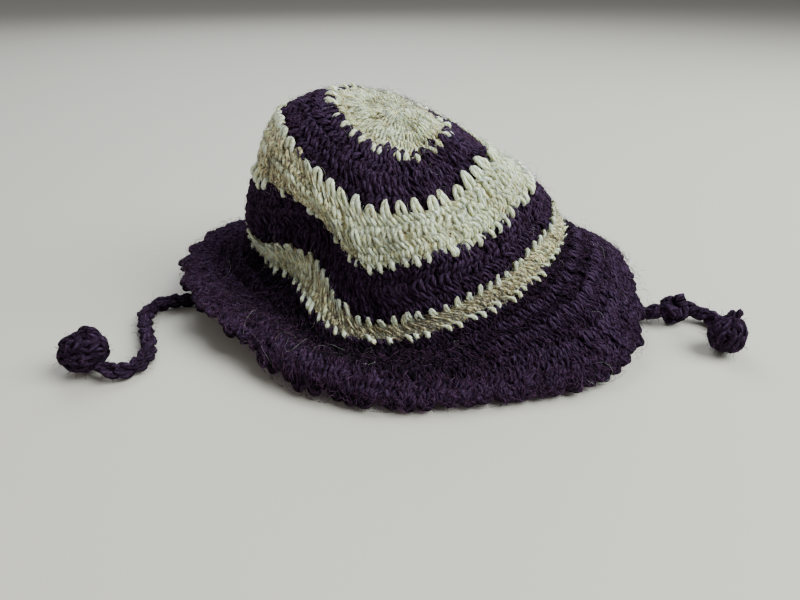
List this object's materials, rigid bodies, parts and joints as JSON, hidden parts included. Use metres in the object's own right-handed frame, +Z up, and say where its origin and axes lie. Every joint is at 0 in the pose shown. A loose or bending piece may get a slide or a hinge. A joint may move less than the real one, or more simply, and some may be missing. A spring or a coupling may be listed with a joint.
{
  "type": "crocheted baby cap",
  "caption": "Soft crocheted baby sun hat in cream and plum stripes with a ruffled brim and two ball-ended ties, lying slumped with its head hollow open below.",
  "frame": {"origin": "middle of the hat's footprint on the surface it lies on, measured without the ties", "axes": "+Z up from the surface, +X to the right as the picture shows it, -Y towards the viewer"},
  "size_m": [0.2508, 0.1892, 0.0835],
  "materials": {
    "cream_yarn": "matt, fuzzy worsted yarn, cream with a touch of yellow-green",
    "plum_yarn": "matt, fuzzy worsted yarn, very dark plum"
  },
  "bodies": {
    "root": {"crown_disc": "cream_yarn", "crown_band_upper_plum": "plum_yarn", "crown_band_wide_cream": "cream_yarn", "crown_band_lower_plum": "plum_yarn", "crown_band_narrow_cream": "cream_yarn", "brim": "plum_yarn", "brim_edging": "plum_yarn", "tie_left": "plum_yarn", "tie_right": "plum_yarn", "tie_ball_left": "plum_yarn", "tie_ball_right": "plum_yarn", "tie_knot_right": "plum_yarn"}
  },
  "joints": []
}
